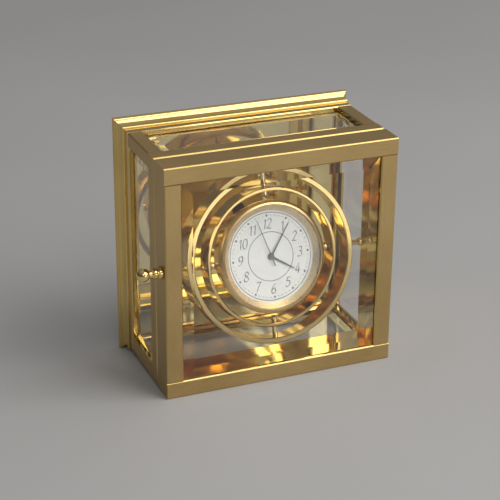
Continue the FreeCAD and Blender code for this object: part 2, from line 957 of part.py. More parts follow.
def battery_lid():
    lid = rod(lid_radius, battery_back, can_back, battery_x, battery_z)
    slot = box(-lid_slot_half_length, lid_slot_half_length, can_back - lid_slot_depth, can_back + 1,
               -lid_slot_half_width, lid_slot_half_width)
    return place_clock(lid.cut(placed_at(slot, battery_x, battery_z)))


def back_cover():
    cover = rod(can_inner_radius, cover_front, can_back)
    cover = cover.cut(rod(lid_radius, 8, 11, battery_x, battery_z))
    cover = cover.cut(rod(setting_hole_radius, 8, 11, setting_x, setting_z))
    spacers = []
    for degrees in cover_pillars:
        x, z = polar(pillar_circle, degrees)
        spacers.append(rod(pillar_radius, back_plate_back, cover_front, x, z))
    return place_clock(join([cover] + spacers))


def stator():
    y0 = stator_front
    y1 = stator_back
    solids = [box(stator_left, stator_elbow, y0, y1, stator_neck_bottom, stator_top),
              box(stator_left, stator_left_arm, y0, y1, stator_bottom, stator_top),
              box(stator_elbow, stator_right, y0, y1, stator_neck_bottom, stator_neck_top),
              box(stator_right_arm, stator_right, y0, y1, stator_bottom, stator_neck_top)]
    plate = join(solids)
    return place_clock(plate.cut(rod(stator_hole_radius, 5, 6, rotor_x, rotor_z)))


def coil():
    core = box(stator_left, stator_right, core_front, stator_front, core_bottom, core_top)
    winding = Part.makeCylinder(winding_radius, winding_length, vec(winding_start, coil_y, coil_z), X)
    flanges = []
    for x in flange_places:
        flanges.append(Part.makeCylinder(flange_radius, flange_thickness, vec(x, coil_y, coil_z), X))
    clear = box(-14, 0, stator_back, 7, -18, -10)
    return place_clock(join([core, winding] + flanges).cut(clear))


def circuit_board():
    board = box(board_left, board_right, board_front, board_back, board_bottom, board_top)
    chip = Part.makeCylinder(chip_radius, chip_thickness, vec(chip_x, chip_front, chip_z), Y)
    return place_clock(join([board, chip]))


# ================================================================ wheels

def toothed(teeth, module, y0, y1, first_tooth, leaf=False):
    # A wheel or a leaf pinion in the XZ plane. first_tooth is the direction of one tooth, degrees.
    pitch_radius = module * teeth / 2
    outer = pitch_radius + (leaf_addendum if leaf else wheel_addendum) * module
    root = pitch_radius - dedendum * module
    tooth_angle = 360.0 / teeth
    shares = leaf_shares if leaf else wheel_shares
    root_half, pitch_half, tip_half = (share * tooth_angle for share in shares)
    corners = []
    for number in range(teeth):
        middle = first_tooth + number * tooth_angle
        for radius, offset in ((root, -root_half), (pitch_radius, -pitch_half), (outer, -tip_half),
                               (outer, tip_half), (pitch_radius, pitch_half), (root, root_half)):
            x, z = polar(radius, middle + offset)
            corners.append(vec(x, y0, z))
    corners.append(corners[0])
    return Part.Face(Part.makePolygon(corners)).extrude(vec(0, y1 - y0, 0))


def facing(direction, teeth):
    # Direction of the first tooth of a wheel that has a gap on the line back to its driver.
    return direction + 180.0 + 180.0 / teeth


def placed_at(shape, x, z):
    shape.translate(vec(x, 0, z))
    return shape


def rotor():
    pinion = toothed(rotor_leaves, module_rotor, *rotor_pinion_span, fifth_direction + 180.0, leaf=True)
    magnet = rod(rotor_magnet_radius, *rotor_magnet_span)
    arbor = rod(arbor_radius, arbor_front, arbor_back)
    return place_clock(placed_at(join([arbor, pinion, magnet]), rotor_x, rotor_z))


def fifth_wheel():
    first_tooth = facing(fifth_direction + 180.0, fifth_teeth)
    wheel = toothed(fifth_teeth, module_rotor, *fifth_wheel_span, first_tooth)
    pinion = toothed(fifth_leaves, module_second, *fifth_pinion_span, fifth_direction + 180.0, leaf=True)
    arbor = rod(arbor_radius, fifth_arbor_front, arbor_back)
    return place_clock(placed_at(join([arbor, wheel, pinion]), fifth_x, fifth_z))


def second_wheel():
    first_tooth = facing(fifth_direction + 180.0, second_teeth)
    wheel = toothed(second_teeth, module_second, *second_wheel_span, first_tooth)
    pinion = toothed(second_leaves, module_third, *second_pinion_span, third_direction, leaf=True)
    arbor = rod(arbor_radius, second_arbor_front, arbor_back)
    return place_clock(join([arbor, wheel, pinion]))


def third_wheel():
    wheel = toothed(third_teeth, module_third, *third_wheel_span, facing(third_direction, third_teeth))
    pinion = toothed(third_leaves, module_centre, *third_pinion_span, third_direction + 180.0, leaf=True)
    arbor = rod(arbor_radius, arbor_front, arbor_back)
    return place_clock(placed_at(join([arbor, wheel, pinion]), third_x, third_z))


def centre_wheel():
    # Minute wheel, cannon pinion and pipe in one; the seconds arbor runs through the pipe.
    first_tooth = facing(third_direction + 180.0, centre_teeth)
    wheel = toothed(centre_teeth, module_centre, *centre_wheel_span, first_tooth)
    cannon = toothed(cannon_leaves, module_motion, *cannon_span, motion_direction, leaf=True)
    pipe = rod(minute_pipe_radius, minute_pipe_front, centre_wheel_span[1])
    bore = rod(arbor_radius + minute_pipe_running, -3, 3)
    return place_clock(join([pipe, wheel, cannon]).cut(bore))


def motion_wheel():
    wheel = toothed(motion_teeth, module_motion, *motion_wheel_span, facing(motion_direction, motion_teeth))
    pinion = toothed(motion_leaves, module_motion, *motion_pinion_span, motion_direction + 180.0, leaf=True)
    solid = join([wheel, pinion]).cut(rod(motion_bore_radius, -2, 2))
    return place_clock(placed_at(solid, motion_x, motion_z))


def hour_wheel():
    first_tooth = facing(motion_direction + 180.0, hour_teeth)
    wheel = toothed(hour_teeth, module_motion, *hour_wheel_span, first_tooth)
    pipe = rod(hour_pipe_radius, hour_pipe_front, hour_wheel_span[1])
    return place_clock(join([wheel, pipe]).cut(rod(hour_bore_radius, -3, 1)))


def setting_knob():
    # Pinion, arbor and knurled knob moulded in one piece. One leaf points at the motion wheel.
    pinion = toothed(setting_leaves, module_motion, *setting_pinion_span, motion_direction + 180.0, leaf=True)
    arbor = rod(setting_arbor_radius, setting_arbor_front, setting_knob_front)
    knob = rod(setting_knob_radius, setting_knob_front, setting_knob_back)
    for number in range(setting_knob_flutes):
        x, z = polar(setting_knob_radius + setting_flute_out, number * 360.0 / setting_knob_flutes)
        knob = knob.cut(rod(setting_flute_radius, setting_knob_front - 1, setting_knob_back + 1, x, z))
    return place_clock(placed_at(join([pinion, arbor, knob]), setting_x, setting_z))


# ================================================================ hands

def pointed(length, half_root, half_tip, y_back):
    corners = [vec(-half_root, y_back, 0), vec(-half_tip, y_back, length), vec(half_tip, y_back, length),
               vec(half_root, y_back, 0), vec(-half_root, y_back, 0)]
    return Part.Face(Part.makePolygon(corners)).extrude(vec(0, -hand_thickness, 0))


def clock_hand(length, half_root, half_tip, boss, hole, y_back, degrees):
    blade = pointed(length, half_root, half_tip, y_back)
    disc = rod(boss, y_back - hand_thickness, y_back)
    hand = join([blade, disc])
    if hole > 0:
        hand = hand.cut(rod(hole, -4, 0))
    hand.rotate(CENTRE, Y, degrees)
    return place_clock(hand)


def hour_hand():
    degrees = 30.0 * (show_hours + show_minutes / 60.0)
    return clock_hand(hour_hand_length, hour_hand_root, hour_hand_tip, hour_hand_boss, hour_pipe_radius,
                      hour_hand_back, degrees)


def minute_hand():
    return clock_hand(minute_hand_length, minute_hand_root, minute_hand_tip, minute_hand_boss,
                      minute_pipe_radius, minute_hand_back, 6.0 * show_minutes)


def second_hand():
    # A plain needle with a tail, pressed on the arbor's end, which the closed boss covers.
    blade = pointed(second_hand_length, second_hand_root, second_hand_tip, second_hand_back)
    tail = pointed(second_hand_tail, second_hand_root, second_tail_tip, second_hand_back)
    tail.rotate(CENTRE, Y, 180)
    disc = rod(second_hand_boss, second_boss_front, second_hand_back)
    bore = rod(arbor_radius, second_arbor_front, 0)
    hand = join([blade, tail, disc]).cut(bore)
    hand.rotate(CENTRE, Y, 6.0 * show_seconds)
    return place_clock(hand)


# ================================================================ files

def all_parts():
    glass = panes()
    top_bar = corner_bar_top_right()
    return {
        "base_block": base_block(),
        "base_plate": base_plate(),
        "base_felt": base_felt(),
        "base_screws": base_screws(),
        "back_rail_top": back_rail_top(),
        "back_rail_bottom": mirrored_z(back_rail_top()),
        "back_stile_right": back_stile_right(),
        "back_stile_left": mirrored_x(back_stile_right()),
        "corner_bar_top_right": top_bar,
        "corner_bar_top_left": mirrored_x(top_bar),
        "corner_bar_bottom_right": mirrored_z(top_bar),
        "corner_bar_bottom_left": mirrored_z(mirrored_x(top_bar)),
        "front_rail_top": front_rail_top(),
        "front_rail_bottom": mirrored_z(front_rail_top()),
        "front_stile_right": front_stile_right(),
        "front_stile_left": front_stile_left(),
        "side_glass_right": glass[0],
        "side_glass_top": glass[1],
        "side_glass_left": glass[2],
        "side_glass_bottom": glass[3],
        "case_pivots": case_pivots(),
        "catch_magnet": catch_magnet(),
        "hinge_leaf_case": hinge_leaf_case(),
        "hinge_pin": hinge_pin(),
        "hinge_leaf_door": hinge_leaf_door(),
        "door_rail_top": door_rail_top(),
        "door_rail_bottom": mirrored_z(door_rail_top()),
        "door_stile_right": door_stile_right(),
        "door_stile_left": door_stile_left(),
        "door_glass": door_glass(),
        "door_knob": door_knob(),
        "door_catch_plate": door_catch_plate(),
        "outer_ring": outer_ring(),
        "ring_pivots": ring_pivots(),
        "inner_ring": inner_ring(),
        "clock_pivots": clock_pivots(),
        "bezel": bezel(),
        "crystal": crystal(),
        "clock_can": clock_can(),
        "dial_spacer": dial_spacer(),
        "dial": dial(),
        "movement_frame": movement_frame(),
        "movement_back_plate": movement_back_plate(),
        "battery": battery(),
        "battery_lid": battery_lid(),
        "back_cover": back_cover(),
        "stator": stator(),
        "coil": coil(),
        "circuit_board": circuit_board(),
        "rotor": rotor(),
        "fifth_wheel": fifth_wheel(),
        "second_wheel": second_wheel(),
        "third_wheel": third_wheel(),
        "centre_wheel": centre_wheel(),
        "motion_wheel": motion_wheel(),
        "hour_wheel": hour_wheel(),
        "setting_knob": setting_knob(),
        "hour_hand": hour_hand(),
        "minute_hand": minute_hand(),
        "second_hand": second_hand(),
    }


os.makedirs("parts", exist_ok=True)
for name, shape in all_parts().items():
    shape.exportStep("parts/" + name + ".step")
    print(name, len(shape.Solids), round(shape.Volume, 2), shape.isValid())
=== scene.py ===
import json
import math
import bmesh
import bpy
from mathutils import Matrix, Vector


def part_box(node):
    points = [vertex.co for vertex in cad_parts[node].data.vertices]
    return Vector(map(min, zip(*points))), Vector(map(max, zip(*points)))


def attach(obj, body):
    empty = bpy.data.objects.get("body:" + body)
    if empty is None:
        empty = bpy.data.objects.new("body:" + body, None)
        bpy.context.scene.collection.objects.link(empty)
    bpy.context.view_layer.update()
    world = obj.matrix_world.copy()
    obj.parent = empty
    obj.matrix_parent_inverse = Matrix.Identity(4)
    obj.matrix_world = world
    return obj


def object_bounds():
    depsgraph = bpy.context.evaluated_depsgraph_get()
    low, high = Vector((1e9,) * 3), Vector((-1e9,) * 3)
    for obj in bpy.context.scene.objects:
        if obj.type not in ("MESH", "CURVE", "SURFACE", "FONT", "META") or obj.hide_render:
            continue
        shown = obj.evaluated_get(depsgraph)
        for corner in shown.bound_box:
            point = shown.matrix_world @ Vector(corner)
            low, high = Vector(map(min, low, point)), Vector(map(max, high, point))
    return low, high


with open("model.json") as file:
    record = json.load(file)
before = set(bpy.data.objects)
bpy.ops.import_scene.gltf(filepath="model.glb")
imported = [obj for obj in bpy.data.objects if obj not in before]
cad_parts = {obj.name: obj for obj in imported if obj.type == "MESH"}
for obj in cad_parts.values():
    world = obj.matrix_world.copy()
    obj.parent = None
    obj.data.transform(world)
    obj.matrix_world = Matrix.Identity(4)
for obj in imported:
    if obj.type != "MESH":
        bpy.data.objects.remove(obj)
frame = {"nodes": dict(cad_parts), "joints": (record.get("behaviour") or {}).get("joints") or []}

cad_low, cad_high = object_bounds()

MM = 0.001
NODES = frame["nodes"]
JOINTS = {j["name"]: j for j in frame["joints"]}


def low(node):
    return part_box(node)[0]


def high(node):
    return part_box(node)[1]


door_front = low("door_rail_top").y
door_half = high("door_rail_top").z
case_half = high("front_rail_top").z


# ------------------------------------------------------------------ node helpers

class Graph:
    """A material with one Principled shader and short calls for the nodes that feed it."""

    def __init__(self, name):
        self.mat = bpy.data.materials.new(name)
        self.mat.use_nodes = True
        self.tree = self.mat.node_tree
        self.shader = self.tree.nodes["Principled BSDF"]
        self.coords = self.tree.nodes.new("ShaderNodeTexCoord").outputs["Object"]

    def link(self, a, b):
        self.tree.links.new(a, b)

    def feed(self, socket, value):
        if isinstance(value, bpy.types.NodeSocket):
            self.link(value, socket)
        else:
            socket.default_value = value

    def math(self, operation, a, b=0.0, clamp=False):
        n = self.tree.nodes.new("ShaderNodeMath")
        n.operation = operation
        n.use_clamp = clamp
        self.feed(n.inputs[0], a)
        self.feed(n.inputs[1], b)
        return n.outputs[0]

    def stretched(self, scale):
        n = self.tree.nodes.new("ShaderNodeMapping")
        n.inputs["Scale"].default_value = scale
        self.link(self.coords, n.inputs["Vector"])
        return n.outputs[0]

    def noise(self, scale, detail=3.0, rough=0.5, vector=None):
        n = self.tree.nodes.new("ShaderNodeTexNoise")
        n.inputs["Scale"].default_value = scale
        n.inputs["Detail"].default_value = detail
        n.inputs["Roughness"].default_value = rough
        self.link(vector or self.coords, n.inputs["Vector"])
        return n.outputs["Fac"]

    def ramp(self, value, start, end, low_value, high_value):
        n = self.tree.nodes.new("ShaderNodeMapRange")
        self.link(value, n.inputs["Value"])
        n.inputs["From Min"].default_value = start
        n.inputs["From Max"].default_value = end
        self.feed(n.inputs["To Min"], low_value)
        self.feed(n.inputs["To Max"], high_value)
        return n.outputs[0]

    def blend(self, factor, a, b):
        n = self.tree.nodes.new("ShaderNodeMix")
        n.data_type = "RGBA"
        self.feed(n.inputs["Factor"], factor)
        self.feed(n.inputs[6], a)
        self.feed(n.inputs[7], b)
        return n.outputs[2]

    def mix_value(self, factor, a, b):
        n = self.tree.nodes.new("ShaderNodeMix")
        n.data_type = "FLOAT"
        self.feed(n.inputs["Factor"], factor)
        self.feed(n.inputs[2], a)
        self.feed(n.inputs[3], b)
        return n.outputs[0]

    def bump(self, height, strength, distance):
        n = self.tree.nodes.new("ShaderNodeBump")
        n.inputs["Strength"].default_value = strength
        n.inputs["Distance"].default_value = distance
        self.link(height, n.inputs["Height"])
        self.link(n.outputs[0], self.shader.inputs["Normal"])

    def axes(self):
        n = self.tree.nodes.new("ShaderNodeSeparateXYZ")
        self.link(self.coords, n.inputs[0])
        return n.outputs

    def set(self, name, value):
        self.feed(self.shader.inputs[name], value)


def rgb(r, g, b):
    return (r, g, b, 1.0)


# Base and back bars: a darker copy of the polished brass, painted shade that dims what their sides reflect.
BASE_SHADE_DEEP = rgb(0.68, 0.485, 0.17)
BASE_SHADE_LIGHT = rgb(0.76, 0.565, 0.23)
# Gimbal rings: a darker copy of the polished brass, painted shade that dims their highlights.
RING_SHADE_DEEP = rgb(0.64, 0.46, 0.17)
RING_SHADE_LIGHT = rgb(0.72, 0.54, 0.24)
# Pivot pins and balls: a paler copy of the polished brass, a painted highlight that makes them look bright.
PIN_HIGHLIGHT_DEEP = rgb(0.90, 0.72, 0.38)
PIN_HIGHLIGHT_LIGHT = rgb(0.96, 0.81, 0.49)
BEZEL_DEEP = rgb(0.72, 0.50, 0.21)
BEZEL_LIGHT = rgb(0.78, 0.57, 0.27)
POLISHED_DEEP = rgb(0.82, 0.605, 0.235)
POLISHED_LIGHT = rgb(0.90, 0.695, 0.325)
# Inward faces and the base plate: a paler, yellower copy of the polished brass, a painted reflection tint for
# the reflections between parts.
INNER_REFLECTION_TINT_DEEP = rgb(0.89, 0.735, 0.33)
INNER_REFLECTION_TINT_LIGHT = rgb(0.94, 0.80, 0.43)
# Chamfers: a darker brass, painted shade over their highlight lines.
EDGE_SHADE_BRASS = rgb(0.62, 0.44, 0.16)
SATIN_DARK = rgb(0.52, 0.365, 0.155)
SATIN_LIGHT = rgb(0.65, 0.465, 0.21)
POLISHED_ROUGH = (0.045, 0.13)
CHAMFER_ROUGH = 0.3
SATIN_ROUGH = (0.36, 0.47)

# A face counts as satin within this depth of the bar's outside, and as a chamfer within the next.
SATIN_SKIN = 0.04 * MM
CHAMFER_REACH = 0.6 * MM

# Noise scales, per metre: slow clouds in the metal, wear marks, fine grain along and across a bar.
CLOUD_SCALE = 38.0
WEAR_SCALE = 90.0
GRAIN_ACROSS = 900.0
GRAIN_ALONG = 60.0


def clouded(g, deep, light, cloud):
    """A colour that drifts between two tones with a noise."""
    return g.blend(g.ramp(cloud, 0.3, 0.7, 0.0, 1.0), deep, light)


# Colour of the faces that look inwards: the paler, yellower brass, a painted reflection tint.
def polished_colour(g):
    return clouded(g, INNER_REFLECTION_TINT_DEEP, INNER_REFLECTION_TINT_LIGHT, g.noise(CLOUD_SCALE))


def polished_roughness(g):
    return g.ramp(g.noise(WEAR_SCALE, 4.0, 0.6), 0.3, 0.75, *POLISHED_ROUGH)


def satin_bar(name, along, half, front=None):
    """Satin brass on a bar's outside faces, smoother chamfers in a darker brass that is painted shade over
    their highlights, and polished faces looking inwards in a paler brass that is a painted reflection tint.
    """
    g = Graph(name)
    x, y, z = g.axes()
    reach = g.math("MAXIMUM", g.math("ABSOLUTE", x), g.math("ABSOLUTE", z))
    satin = g.math("GREATER_THAN", reach, half - SATIN_SKIN)
    if front is not None:
        satin = g.math("MAXIMUM", satin, g.math("LESS_THAN", y, front + SATIN_SKIN))
    edge = g.math("GREATER_THAN", reach, half - CHAMFER_REACH)
    if front is not None:
        edge = g.math("MAXIMUM", edge, g.math("LESS_THAN", y, front + CHAMFER_REACH))
    scale = [GRAIN_ACROSS, GRAIN_ACROSS, GRAIN_ACROSS]
    scale[along] = GRAIN_ALONG
    grain = g.noise(4.0, 4.0, 0.65, g.stretched(scale))
    cloud = g.noise(26.0, 2.0)
    shade = g.math("ADD", g.math("MULTIPLY", grain, 0.45), g.math("MULTIPLY", cloud, 0.55))
    satin_colour = g.blend(g.ramp(shade, 0.34, 0.66, 0.0, 1.0), SATIN_DARK, SATIN_LIGHT)
    # Inward faces take the paler brass, a painted reflection tint; chamfers take the darker brass, painted
    # shade over their highlights.
    bright_painted_colour = g.blend(edge, polished_colour(g), EDGE_SHADE_BRASS)
    g.set("Base Color", g.blend(satin, bright_painted_colour, satin_colour))
    satin_rough = g.ramp(shade, 0.3, 0.7, *SATIN_ROUGH)
    bright_rough = g.mix_value(edge, polished_roughness(g), CHAMFER_ROUGH)
    g.set("Roughness", g.mix_value(satin, bright_rough, satin_rough))
    g.set("Metallic", 1.0)
    g.bump(g.math("MULTIPLY", grain, satin), 0.25, 0.00004)
    return g.mat


def polished_brass(name, deep=POLISHED_DEEP, light=POLISHED_LIGHT, rough=POLISHED_ROUGH):
    g = Graph(name)
    g.set("Base Color", clouded(g, deep, light, g.noise(CLOUD_SCALE)))
    g.set("Roughness", g.ramp(g.noise(WEAR_SCALE, 4.0, 0.6), 0.3, 0.75, *rough))
    g.set("Metallic", 1.0)
    g.bump(g.noise(420.0, 3.0), 0.06, 0.00002)
    return g.mat


def plain_paint(name, dark, light, rough, metallic=0.0, scale=120.0, bump=0.08):
    g = Graph(name)
    cloud = g.noise(scale, 4.0, 0.6)
    g.set("Base Color", clouded(g, dark, light, cloud))
    g.set("Roughness", g.ramp(cloud, 0.3, 0.7, *rough))
    g.set("Metallic", metallic)
    g.bump(g.noise(scale * 12, 2.0), bump, 0.00003)
    return g.mat


def clear_glass(name):
    g = Graph(name)
    g.set("Base Color", rgb(0.985, 0.992, 0.985))
    g.set("Transmission Weight", 1.0)
    g.set("IOR", 1.5)
    g.set("Roughness", g.ramp(g.noise(60.0, 5.0, 0.7), 0.62, 0.85, 0.0, 0.035))
    return g.mat


door_bar_x = satin_bar("satin_brass_door_rails", 0, door_half, door_front)
door_bar_z = satin_bar("satin_brass_door_stiles", 2, door_half, door_front)
case_bar_x = satin_bar("satin_brass_case_rails", 0, case_half)
case_bar_y = satin_bar("satin_brass_corner_bars", 1, case_half)
case_bar_z = satin_bar("satin_brass_case_stiles", 2, case_half)
mirror_brass = polished_brass("polished_brass")
# Base and back bars in a darker brass: painted shade.
base_shade_brass = polished_brass("polished_brass_base_painted_shade", BASE_SHADE_DEEP, BASE_SHADE_LIGHT, (0.06, 0.15))
# Rings in a darker brass: painted shade over their highlights.
ring_shade_brass = polished_brass("polished_brass_rings_painted_shade", RING_SHADE_DEEP, RING_SHADE_LIGHT, (0.06, 0.13))
# Base plate in the paler, yellower brass: a painted reflection tint.
plate_reflection_tint_brass = polished_brass("polished_brass_plate_painted_reflection", INNER_REFLECTION_TINT_DEEP, INNER_REFLECTION_TINT_LIGHT, (0.03, 0.09))
# Pins in a paler brass: a painted highlight.
pin_highlight_brass = polished_brass("polished_brass_pins_painted_highlight", PIN_HIGHLIGHT_DEEP, PIN_HIGHLIGHT_LIGHT, (0.10, 0.18))
glass = clear_glass("clear_bevelled_glass")
steel = plain_paint("bright_steel", rgb(0.42, 0.42, 0.42), rgb(0.62, 0.62, 0.61), (0.18, 0.34), 1.0)
felt = plain_paint("green_felt", rgb(0.012, 0.045, 0.028), rgb(0.03, 0.085, 0.05), (0.9, 1.0),
                   0.0, 900.0, 0.9)
black_plastic = plain_paint("black_plastic", rgb(0.012, 0.012, 0.013), rgb(0.03, 0.03, 0.031), (0.42, 0.6))
white_plastic = plain_paint("wheel_plastic", rgb(0.68, 0.66, 0.58), rgb(0.78, 0.76, 0.68), (0.28, 0.4))
dial_paint = plain_paint("dial_white", rgb(0.61, 0.615, 0.605), rgb(0.66, 0.665, 0.655), (0.5, 0.62),
                         0.0, 300.0, 0.05)
rim_white = plain_paint("rim_white", rgb(0.84, 0.83, 0.80), rgb(0.90, 0.89, 0.86), (0.3, 0.42))
copper = plain_paint("coil_copper", rgb(0.42, 0.13, 0.05), rgb(0.6, 0.22, 0.09), (0.25, 0.4), 1.0)
board = plain_paint("board_green", rgb(0.01, 0.09, 0.04), rgb(0.02, 0.14, 0.06), (0.3, 0.45))
ink = plain_paint("dial_ink", rgb(0.012, 0.013, 0.018), rgb(0.03, 0.031, 0.036), (0.45, 0.6), 0.0, 700.0)
hand_paint = plain_paint("hand_black", rgb(0.012, 0.012, 0.014), rgb(0.03, 0.03, 0.034), (0.22, 0.38),
                         0.0, 500.0)


def satin_bezel():
    """Fine satin with a very small grain."""
    g = Graph("satin_brass_bezel")
    cloud = g.noise(60.0, 2.0)
    grain = g.noise(2500.0, 2.0)
    g.set("Base Color", clouded(g, BEZEL_DEEP, BEZEL_LIGHT, cloud))
    g.set("Roughness", g.ramp(cloud, 0.3, 0.7, 0.22, 0.3))
    g.set("Metallic", 1.0)
    g.bump(grain, 0.04, 0.00001)
    return g.mat


bezel_brass = satin_bezel()

FINISH = {}
for side in ("top", "bottom"):
    FINISH["door_rail_" + side] = door_bar_x
    FINISH["front_rail_" + side] = case_bar_x
    FINISH["back_rail_" + side] = base_shade_brass
    for flank in ("left", "right"):
        FINISH["corner_bar_" + side + "_" + flank] = case_bar_y
for flank in ("left", "right"):
    FINISH["door_stile_" + flank] = door_bar_z
    FINISH["front_stile_" + flank] = case_bar_z
    FINISH["back_stile_" + flank] = base_shade_brass
for name in ("door_knob", "hinge_leaf_case", "hinge_leaf_door", "clock_can", "back_cover", "battery_lid"):
    FINISH[name] = mirror_brass
for name in ("outer_ring", "inner_ring"):
    FINISH[name] = ring_shade_brass
for name in ("case_pivots", "ring_pivots", "clock_pivots"):
    FINISH[name] = pin_highlight_brass
GLASS = ("side_glass_right", "side_glass_top", "side_glass_left", "side_glass_bottom",
         "door_glass", "crystal")
for name in GLASS:
    FINISH[name] = glass
for name in ("base_screws", "hinge_pin", "catch_magnet", "door_catch_plate", "battery", "stator"):
    FINISH[name] = steel
for name in ("movement_frame", "movement_back_plate", "setting_knob"):
    FINISH[name] = black_plastic
for name in ("rotor", "fifth_wheel", "second_wheel", "third_wheel", "centre_wheel", "motion_wheel",
             "hour_wheel"):
    FINISH[name] = white_plastic
for name in ("hour_hand", "minute_hand", "second_hand"):
    FINISH[name] = hand_paint
FINISH.update(base_felt=felt, dial=dial_paint, dial_spacer=rim_white, coil=copper, circuit_board=board,
              bezel=bezel_brass, base_block=base_shade_brass, base_plate=plate_reflection_tint_brass)

for name, obj in NODES.items():
    for number in range(len(obj.material_slots)):
        obj.material_slots[number].link = "OBJECT"
        obj.material_slots[number].material = FINISH[name]
for name in GLASS:
    NODES[name].visible_shadow = False


# ------------------------------------------------------------------ dial print

pivot = Vector(JOINTS["clock_pivot"]["pos_m"])
dial_x = Vector(JOINTS["clock_pivot"]["axis"])
dial_in = Vector(JOINTS["second_spin"]["axis"])
dial_up = dial_x.cross(dial_in)
dial_depth = min((v.co - pivot).dot(dial_in) for v in NODES["dial"].data.vertices)
PRINT_TOP = dial_depth - 0.025 * MM
PRINT_BASE = dial_depth + 0.005 * MM

# Millimetres on the dial.
HOUR_DOT_RADIUS = 18.35
HOUR_DOT = 0.52
MINUTE_DOT = 0.22
OUTER_CIRCLE = 19.7
OUTER_LINE = 0.32
INNER_CIRCLE = 11.0
INNER_LINE = 0.3
CIRCLE_SIDES = 160
NUMERAL_RADIUS = 14.6
NUMERAL_HEIGHT = 4.3
SLANT = 0.2


def on_dial(x, z, depth):
    return pivot + dial_x * (x * MM) + dial_up * (z * MM) + dial_in * depth


def prism(bm, outline):
    """A closed flat plate with a given outline, points (x, z) in millimetres on the dial."""
    top = [bm.verts.new(on_dial(x, z, PRINT_TOP)) for x, z in outline]
    base = [bm.verts.new(on_dial(x, z, PRINT_BASE)) for x, z in outline]
    bm.faces.new(top)
    bm.faces.new(base[::-1])
    count = len(outline)
    for i in range(count):
        j = (i + 1) % count
        bm.faces.new((top[i], base[i], base[j], top[j]))


def strip(bm, left, right, closed=False):
    """A closed flat band between two rows of points."""
    rows = []
    for a, b in zip(left, right):
        corners = ((a, PRINT_TOP), (b, PRINT_TOP), (b, PRINT_BASE), (a, PRINT_BASE))
        rows.append([bm.verts.new(on_dial(point[0], point[1], depth)) for point, depth in corners])
    count = len(rows)
    for i in range(count if closed else count - 1):
        p, q = rows[i], rows[(i + 1) % count]
        for k in range(4):
            m = (k + 1) % 4
            bm.faces.new((p[k], p[m], q[m], q[k]))
    if not closed:
        bm.faces.new(rows[0][::-1])
        bm.faces.new(rows[-1])


def around(radius, count, phase=0.0):
    turn = 2 * math.pi / count
    return [(radius * math.cos(phase + i * turn), radius * math.sin(phase + i * turn)) for i in range(count)]


def dot(bm, x, z, radius, sides=14):
    prism(bm, [(x + px, z + pz) for px, pz in around(radius, sides)])


def circle(bm, radius, width):
    strip(bm, around(radius - width / 2, CIRCLE_SIDES), around(radius + width / 2, CIRCLE_SIDES), closed=True)


DIGITS = {
    # Strokes of each figure: height 1, points left to right and bottom to top.
    "0": [[(0.28, 1.0), (0.45, 0.86), (0.51, 0.5), (0.45, 0.14), (0.28, 0.0), (0.11, 0.14), (0.05, 0.5),
           (0.11, 0.86), (0.28, 1.0)]],
    "1": [[(0.12, 0.80), (0.22, 0.88), (0.32, 1.0)], [(0.32, 1.0), (0.32, 0.5), (0.32, 0.0)]],
    "2": [[(0.07, 0.80), (0.15, 0.95), (0.31, 1.0), (0.46, 0.88), (0.44, 0.66), (0.26, 0.34), (0.02, 0.03)],
          [(0.02, 0.03), (0.16, 0.08), (0.34, 0.01), (0.54, 0.08)]],
    "3": [[(0.10, 0.88), (0.22, 1.0), (0.40, 0.95), (0.44, 0.77), (0.33, 0.60), (0.18, 0.55)],
          [(0.18, 0.55), (0.38, 0.53), (0.50, 0.34), (0.42, 0.09), (0.20, 0.0), (0.03, 0.10)]],
    "4": [[(0.38, 1.0), (0.20, 0.66), (0.0, 0.30)], [(0.0, 0.30), (0.28, 0.31), (0.56, 0.30)],
          [(0.40, 0.64), (0.40, 0.32), (0.40, 0.0)]],
    "5": [[(0.16, 0.98), (0.13, 0.78), (0.09, 0.57)], [(0.16, 0.98), (0.32, 0.95), (0.50, 1.0)],
          [(0.09, 0.57), (0.26, 0.63), (0.45, 0.53), (0.50, 0.31), (0.40, 0.08), (0.18, 0.0), (0.02, 0.10)]],
    "6": [[(0.46, 0.97), (0.26, 0.86), (0.10, 0.60), (0.05, 0.30), (0.13, 0.06), (0.28, 0.0), (0.46, 0.12),
           (0.48, 0.36), (0.34, 0.53), (0.17, 0.47), (0.07, 0.33)]],
    "7": [[(0.03, 0.88), (0.12, 0.98), (0.32, 0.95), (0.52, 0.99)],
          [(0.52, 0.99), (0.34, 0.62), (0.22, 0.32), (0.16, 0.0)]],
    "8": [[(0.27, 0.54), (0.11, 0.67), (0.11, 0.88), (0.28, 1.0), (0.45, 0.88), (0.43, 0.69), (0.27, 0.54),
           (0.07, 0.37), (0.06, 0.12), (0.27, 0.0), (0.49, 0.12), (0.47, 0.37), (0.27, 0.54)]],
}
DIGITS["9"] = [[(0.54 - x, 1.0 - z) for x, z in DIGITS["6"][0]]]
PLAIN_WIDTH = 0.58
DIGIT_WIDTH = {"1": 0.44}
NARROW_SHIFT = -0.08
PEN_ANGLE = math.radians(35)
PEN_THIN = 0.2
PEN_THICK = 0.5


def smooth_path(points, steps=7):
    """A Catmull-Rom curve through the points."""
    ends = [points[0]] + list(points) + [points[-1]]
    path = []
    for i in range(1, len(ends) - 2):
        p0, p1, p2, p3 = ends[i - 1:i + 3]
        for s in range(steps):
            t = s / steps
            path.append(tuple(
                0.5 * (2 * p1[k] + (p2[k] - p0[k]) * t + (2 * p0[k] - 5 * p1[k] + 4 * p2[k] - p3[k]) * t * t
                       + (3 * p1[k] - p0[k] - 3 * p2[k] + p3[k]) * t ** 3) for k in (0, 1)))
    path.append(tuple(points[-1]))
    return path


